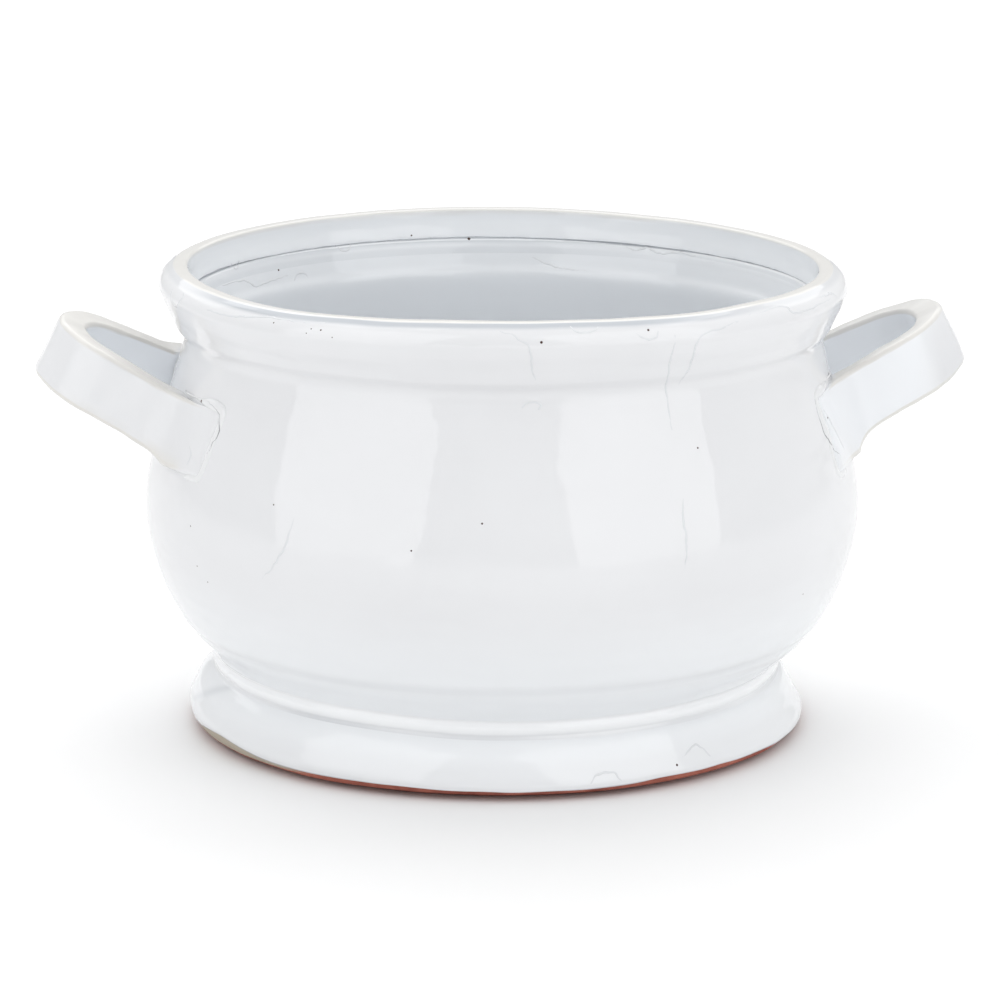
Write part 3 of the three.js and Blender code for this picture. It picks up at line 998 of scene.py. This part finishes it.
def luting_beads(side):
    """Copies the edges of a handle's two roots, spreads them, and rolls a bead along each."""
    handle = bpy.data.objects["strap_" + side]
    pick(handle)
    bpy.ops.object.duplicate()
    root = bpy.context.object
    root.id_properties_clear()
    bpy.ops.object.mode_set(mode="EDIT")
    bpy.ops.mesh.select_mode(type="FACE")
    bpy.ops.mesh.select_all(action="DESELECT")
    bpy.ops.object.mode_set(mode="OBJECT")
    for face in root.data.polygons:
        inward = face.center.x * face.normal.x + face.center.y * face.normal.y < 0
        reach = math.hypot(face.center.x, face.center.y)
        beside = [radius for radius, height in wall_line if abs(height - face.center.z) < WALL_SLICE]
        gap = min(abs(reach - radius) for radius in beside)
        face.select = inward and gap < WALL_GAP
    bpy.ops.object.mode_set(mode="EDIT")
    bpy.ops.mesh.region_to_loop()
    bpy.ops.mesh.duplicate()
    bpy.ops.mesh.separate(type="SELECTED")
    bpy.ops.object.mode_set(mode="OBJECT")
    line = [piece for piece in bpy.context.selected_objects if piece != root][0]
    bpy.data.objects.remove(root)
    pick(line)
    bpy.ops.object.mode_set(mode="EDIT")
    bpy.ops.mesh.select_all(action="SELECT")
    bpy.ops.mesh.remove_doubles(threshold=BEAD_STEP)
    bpy.ops.mesh.vertices_smooth(factor=0.5, repeat=2)
    bpy.ops.mesh.separate(type="LOOSE")
    bpy.ops.object.mode_set(mode="OBJECT")
    beads = list(bpy.context.selected_objects)
    for bead in beads:
        middle = sum((point.co for point in bead.data.vertices), Vector()) / len(bead.data.vertices)
        for point in bead.data.vertices:
            away = point.co - middle
            point.co += away.normalized() * BEAD_OFFSET
            point.co -= Vector((point.co.x, point.co.y, 0.0)).normalized() * BEAD_SUNK
        pick(bead)
        bpy.ops.object.convert(target="CURVE")
        for point in bead.data.splines[0].points:
            outer = ease(*BEAD_SWELLS, abs(point.co.y))
            point.radius = BEAD_THINNEST + (1.0 - BEAD_THINNEST) * outer
        bead.data.bevel_depth = BEAD_RADIUS
        bead.data.bevel_resolution = 5
        bpy.ops.object.convert(target="MESH")
        bead = bpy.context.object
        which = "front" if middle.y < 0 else "back"
        bead.name = f"luting_{side}_{which}"
        bpy.ops.object.mode_set(mode="EDIT")
        bpy.ops.mesh.select_all(action="SELECT")
        bpy.ops.mesh.remove_doubles(threshold=0.01 * MM)
        bpy.ops.mesh.normals_make_consistent(inside=False)
        bpy.ops.mesh.subdivide(number_cuts=1, smoothness=1.0)
        bpy.ops.object.mode_set(mode="OBJECT")
        bpy.ops.object.shade_smooth()
        uneven(bead, BEAD_LUMPS, BEAD_LUMP_SIZE)
        bead.data.materials.append(bowl_glaze)
        lay_glaze(bead, lambda at, normal: BEAD_COAT)
        settle(bead, "thin_glaze", f"handle_{side}_{which}_luting")


luting_beads("right")
luting_beads("left")

# Marks in the glaze: runs and drips that set as low ridges, and pinholes where gas broke through.
# The runs lie under the rim, down the wall, inside the mouth and on the foot.
# Along the front root of each handle the glaze drew apart and left a slit, its dark painted in as the shade inside it.

CLEAR_OF_POT = 0.3
RUN_RADIUS = 0.75 * MM
RUN_SUNK = 0.52 * MM
RUN_ASIDE = 0.3
RUN_ALONG = 0.5
RUN_ENDS = 0.74
RUN_BELLY = 0.2
RUN_KNOTS = 0.14
# Painted shade along the runs so that they read as darker lines, with a little of the paler tone.
RUN_SHADE_COAT = (0.0, 0.24, 0.3)
PIT_RADIUS = 0.55 * MM
PIT_SUNK = 0.7
# Pinholes: bare clay darkened with painted shade.
PIT_SHADE_COAT = (0.0, 0.88, 0.0)


def on_glaze(angle, height, inside):
    """The place on the glaze at an angle from the front and a height, and its outward direction."""
    out = Vector((math.sin(math.radians(angle)), -math.cos(math.radians(angle)), 0.0))
    start = Vector((0.0, 0.0, height))
    if not inside:
        start += out * CLEAR_OF_POT
    found = []
    for name in GLAZED:
        hit, place, normal, index = bpy.data.objects[name].ray_cast(start, out if inside else -out)
        if hit:
            found.append(((place - start).length, place, normal))
    return min(found, key=lambda entry: entry[0])[1:]


def glaze_run(places, inside=False, share=1.0):
    """Lays a thin ridge along places on the glaze, each an angle in degrees and a height in millimetres."""
    route = []
    for angle, height in curve_through(places, 7):
        astray = Vector((angle * 0.9, height * 0.35, 0.0))
        angle += RUN_ASIDE * noise.noise(astray)
        height += RUN_ALONG * noise.noise(astray + Vector((0.0, 0.0, 7.0)))
        place, normal = on_glaze(angle, height * MM, inside)
        route.append(place - normal * RUN_SUNK * share)
    drawn_line(route)
    bpy.ops.object.mode_set(mode="OBJECT")
    bpy.ops.object.convert(target="CURVE")
    ridge = bpy.context.object
    ridge.data.bevel_depth = RUN_RADIUS * share
    ridge.data.bevel_resolution = 2
    count = len(ridge.data.splines[0].points)
    for index, point in enumerate(ridge.data.splines[0].points):
        point.radius = RUN_ENDS + RUN_BELLY * math.sin(math.pi * index / (count - 1))
        point.radius += RUN_KNOTS * noise.noise(point.co.xyz * 700)
    bpy.ops.object.convert(target="MESH")
    return bpy.context.object


def pinhole(angle, height, inside, share):
    """Sets a small pit into the glaze, dark with painted shade."""
    place, normal = on_glaze(angle, height * MM, inside)
    bpy.ops.object.select_all(action="DESELECT")
    bpy.ops.mesh.primitive_ico_sphere_add(
        subdivisions=2, radius=PIT_RADIUS * share, location=place - normal * PIT_SUNK * PIT_RADIUS * share)
    return bpy.context.object


def gathered(name, pieces, material):
    """Joins pieces into one named object with its origin on the pot's axis."""
    bpy.ops.object.select_all(action="DESELECT")
    for piece in pieces:
        piece.select_set(True)
    bpy.context.view_layer.objects.active = pieces[0]
    bpy.ops.object.join()
    bpy.ops.object.transform_apply(location=True, rotation=True, scale=True)
    bpy.ops.object.shade_smooth()
    whole = bpy.context.object
    whole.name = name
    whole.data.name = name
    whole.data.materials.clear()
    whole.data.materials.append(material)
    return whole


GLAZED = ["thrown_bowl", "rolled_rim", "foot_glaze", "foot_coil", "strap_left", "strap_right"]
OUTER_RUNS = [
    [(-6.9, 173.6), (-4.4, 171.5), (-2.6, 168.6), (-2.1, 163.9), (-1.8, 159.1), (-0.9, 153.2)],
    [(34.2, 171.9), (29.9, 170.2), (26.0, 168.6), (25.1, 163.3), (25.3, 157.3), (24.7, 153.1),
     (24.3, 149.5)],
    [(21.4, 170.3), (21.0, 163.0), (21.3, 156.2), (22.0, 147.0), (22.3, 134.1)],
    [(22.6, 112.0), (22.2, 104.0), (22.4, 95.0), (22.0, 86.0)],
    [(-40.1, 102.0), (-40.7, 93.7), (-42.7, 85.0), (-45.6, 77.8)],
    [(4.2, 174.6), (4.8, 173.3), (6.4, 172.4), (8.0, 173.2), (9.0, 174.6)],
    [(-77.4, 172.4), (-76.3, 168.3), (-73.6, 167.1), (-71.5, 170.9), (-72.8, 173.0)],
    [(36.6, 173.2), (43.5, 173.6), (46.0, 173.2), (48.0, 170.6), (58.0, 170.8), (62.0, 171.0)],
    [(56.4, 172.8), (60.0, 172.6), (63.0, 172.4), (64.5, 170.5), (64.0, 168.2)],
    [(-64.0, 170.6), (-57.0, 170.2), (-52.0, 171.0), (-47.0, 172.2), (-42.0, 172.0), (-36.0, 172.8)],
    [(14.7, 171.4), (15.6, 169.7), (16.8, 169.2), (18.0, 169.8), (18.6, 171.4)],
    [(-3.4, 144.8), (-2.6, 146.2), (-1.2, 146.6), (-0.2, 145.4), (-0.6, 143.8)],
    [(9.4, 3.6), (10.5, 6.0), (12.4, 6.8), (14.3, 6.0), (15.5, 3.2)],
    [(28.8, 7.8), (30.3, 9.4), (32.2, 10.9), (33.7, 9.3), (35.0, 5.8)],
    [(-67.4, 117.0), (-66.2, 113.8), (-67.1, 110.6)],
    [(62.0, 128.8), (63.3, 123.8), (65.4, 117.0), (67.0, 111.6)],
]
INNER_RUNS = [
    [(-114.4, 158.8), (-122.3, 158.5), (-125.8, 157.5), (-128.1, 154.8), (-132.1, 155.3), (-138.2, 156.4)],
    [(168.1, 157.9), (165.8, 156.1), (163.3, 154.3), (160.3, 153.3), (156.3, 152.8)],
    [(-139.4, 153.4), (-141.0, 156.2), (-142.6, 156.0), (-143.6, 153.8)],
    [(-125.0, 166.2), (-124.4, 164.0), (-123.4, 163.0), (-122.4, 164.2), (-122.0, 166.0)],
    [(-155.2, 165.2), (-154.4, 163.2), (-153.4, 162.6), (-152.4, 163.4), (-151.8, 165.0)],
    [(150.0, 164.2), (146.5, 162.4), (144.0, 163.6), (140.5, 162.0), (137.0, 163.2), (131.0, 162.4)],
]
runs = [glaze_run(places) for places in OUTER_RUNS]
runs += [glaze_run(places, inside=True) for places in INNER_RUNS]
run_ridges = gathered("glaze_runs", runs, bowl_glaze)
# The runs are tinted with painted shade.
lay_glaze(run_ridges, lambda at, normal: RUN_SHADE_COAT)
settle(run_ridges, "white_glaze")

SLITS = [
    [(-66.5, 134.6), (-62.6, 133.6), (-60.5, 129.8), (-60.3, 123.2), (-62.0, 116.4)],
    [(60.3, 133.0), (59.9, 128.0), (60.4, 121.0), (62.2, 114.2), (64.2, 110.4)],
]
SLIT_SHARE = 0.5
# Near-black painted shade for the inside of the slits.
SLIT_SHADE = (0.15, 0.155, 0.17)
GLAZED += ["luting_left_front", "luting_right_front"]
slit_shade_glaze = white_glaze("slit_shade_glaze", GLAZE, CREAM, SLIT_SHADE, PAINTED_LIGHT_TONE, GLOSS)
slits = gathered("root_slits", [glaze_run(places, share=SLIT_SHARE) for places in SLITS], slit_shade_glaze)
# Patchy painted shade along each slit.
lay_glaze(slits, lambda at, normal: (0.0, 0.6 + 0.9 * noise.noise(at * 90), 0.0))
settle(slits, "white_glaze")

OUTER_PITS = [
    (-0.6, 169.8, 1.3), (16.8, 172.2, 1.2), (26.6, 127.1, 1.0), (-9.5, 105.3, 1.0), (-44.2, 105.2, 0.8),
    (-20.1, 94.9, 0.9), (-63.2, 89.6, 0.8), (-61.6, 75.2, 0.7), (-59.2, 70.2, 0.7), (49.4, 64.9, 0.7),
    (-45.6, 170.7, 0.8), (-38.7, 168.9, 0.6), (-38.0, 170.5, 0.7), (-36.2, 170.5, 0.9), (-33.9, 168.5, 0.6),
    (27.0, 5.7, 1.3), (-67.9, 133.6, 1.3), (62.6, 125.3, 0.9),
]
INNER_PITS = [(-136.1, 158.9, 1.2), (-168.1, 166.7, 1.0), (-179.7, 164.6, 1.8)]
pits = [pinhole(angle, height, False, share) for angle, height, share in OUTER_PITS]
pits += [pinhole(angle, height, True, share) for angle, height, share in INNER_PITS]
pinholes = gathered("pinholes", pits, clay)
# The pits take painted shade.
lay_glaze(pinholes, lambda at, normal: PIT_SHADE_COAT)
settle(pinholes, "white_glaze")

# The stand: the foot was trimmed back under its outer edge, so the pot rests on the ring's inner edge.
# All the pieces move up together until that edge meets the floor.

POT = ["thrown_bowl", "rolled_rim", "foot_clay", "foot_glaze", "foot_coil", "strap_left", "strap_right",
       "luting_left_front", "luting_left_back", "luting_right_front", "luting_right_back",
       "glaze_runs", "root_slits", "pinholes"]
for name in POT:
    bpy.data.objects[name].data.transform(Matrix.Translation((0.0, 0.0, STAND)))

# The stage: a plain pale floor, a bright overhead sky and two tall soft lights beside the camera.
# Two wide lights fill in from above and from behind the pot.

FLOOR_SIZE = 30.0
FLOOR_TONE = (0.85, 0.85, 0.85, 1.0)
FLOOR_ROUGHNESS = 0.7
bpy.ops.object.select_all(action="DESELECT")
bpy.ops.mesh.primitive_plane_add(size=FLOOR_SIZE, location=(0, 0, 0))
floor = bpy.context.object
floor.name = "floor"
paper = bpy.data.materials.new("white_paper")
paper.use_nodes = True
paper_shader = paper.node_tree.nodes["Principled BSDF"]
paper_shader.inputs["Base Color"].default_value = FLOOR_TONE
paper_shader.inputs["Roughness"].default_value = FLOOR_ROUGHNESS
floor.data.materials.append(paper)
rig.stage(floor)

SKY_LOW = 0.33
SKY_HIGH = 0.6
# The glow behind the pot and a fainter one to its right: axis, where it starts, where it is full, strength
SKY_GLOWS = [("Y", -0.3, 0.6, 0.36), ("X", 0.2, 0.9, 0.2)]
scene = bpy.context.scene
scene.view_settings.view_transform = "Standard"
world = bpy.data.worlds.new("studio")
world.use_nodes = True
sky_nodes = world.node_tree.nodes
sky_link = world.node_tree.links.new
sky_place = sky_nodes.new("ShaderNodeTexCoord")
sky_axes = sky_nodes.new("ShaderNodeSeparateXYZ")
sky_link(sky_place.outputs["Generated"], sky_axes.inputs["Vector"])
sky_level = sky_nodes.new("ShaderNodeMapRange")
sky_level.inputs["From Min"].default_value = 0.0
sky_level.inputs["From Max"].default_value = 1.0
sky_level.inputs["To Min"].default_value = SKY_LOW
sky_level.inputs["To Max"].default_value = SKY_HIGH
sky_link(sky_axes.outputs["Z"], sky_level.inputs["Value"])
total = sky_level.outputs["Result"]
for axis, low, high, strength in SKY_GLOWS:
    glow = sky_nodes.new("ShaderNodeMapRange")
    glow.interpolation_type = "SMOOTHSTEP"
    glow.inputs["From Min"].default_value = low
    glow.inputs["From Max"].default_value = high
    glow.inputs["To Min"].default_value = 0.0
    glow.inputs["To Max"].default_value = strength
    sky_link(sky_axes.outputs[axis], glow.inputs["Value"])
    both = sky_nodes.new("ShaderNodeMath")
    sky_link(total, both.inputs[0])
    sky_link(glow.outputs["Result"], both.inputs[1])
    total = both.outputs["Value"]
sky_link(total, sky_nodes["Background"].inputs["Strength"])
sky_nodes["Background"].inputs["Color"].default_value = (1.0, 1.0, 1.0, 1.0)
scene.world = world

CAMERA_AZIMUTH = math.radians(-6.5)
CAMERA_RISE = math.radians(13.03)
CAMERA_DISTANCE = 1.55
CAMERA_LENS = 144.5
CAMERA_ROLL = math.radians(0.27)
CAMERA_SENSOR = 36.0
CAMERA_SHIFT_X = -0.0022
CAMERA_SHIFT_Y = -0.0169
AIM = Vector((0.0, 0.0, 0.089 + STAND))


def from_aim(azimuth, elevation, distance):
    """A place seen from the aim at an azimuth from the front, towards +X, and an elevation."""
    level = math.cos(elevation) * distance
    rise = math.sin(elevation) * distance
    return AIM + Vector((math.sin(azimuth) * level, -math.cos(azimuth) * level, rise))


bpy.ops.object.camera_add(location=from_aim(CAMERA_AZIMUTH, CAMERA_RISE, CAMERA_DISTANCE))
camera = bpy.context.object
camera.data.lens = CAMERA_LENS
camera.data.sensor_width = CAMERA_SENSOR
camera.data.shift_x = CAMERA_SHIFT_X
camera.data.shift_y = CAMERA_SHIFT_Y
facing_aim = (AIM - camera.location).to_track_quat("-Z", "Y")
camera.rotation_euler = facing_aim.to_euler()
camera.rotation_euler.rotate_axis("Z", CAMERA_ROLL)
scene.camera = camera

SOFTBOX_WIDTH = 1.5
SOFTBOX_HEIGHT = 2.2
SOFTBOX_RISE = math.radians(24)
SOFTBOX_DISTANCE = 1.6
SOFTBOXES = [("softbox_left", -49.0, 12.2), ("softbox_right", 46.0, 12.6)]
for name, azimuth, energy in SOFTBOXES:
    bpy.ops.object.light_add(
        type="AREA",
        location=from_aim(CAMERA_AZIMUTH + math.radians(azimuth), SOFTBOX_RISE, SOFTBOX_DISTANCE))
    softbox = bpy.context.object
    softbox.name = name
    softbox.data.shape = "RECTANGLE"
    softbox.data.size = SOFTBOX_WIDTH
    softbox.data.size_y = SOFTBOX_HEIGHT
    softbox.data.energy = energy
    softbox.rotation_euler = (AIM - softbox.location).to_track_quat("-Z", "Y").to_euler()

FILL_LIGHTS = [
    ("overhead", (0.0, 1.6, 2.6), (3.0, 3.0), 36.0),
    ("backdrop_light", (0.0, 3.2, 1.9), (5.0, 3.0), 34.0),
]
for name, place, size, energy in FILL_LIGHTS:
    bpy.ops.object.light_add(type="AREA", location=place)
    lamp = bpy.context.object
    lamp.name = name
    lamp.data.shape = "RECTANGLE"
    lamp.data.size = size[0]
    lamp.data.size_y = size[1]
    lamp.data.energy = energy

seen_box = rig.bounds()
with open("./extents.json", "w") as out:
    json.dump({
        "cad": [list(corner) for corner in cad_box],
        "visual": [list(corner) for corner in seen_box],
    }, out)
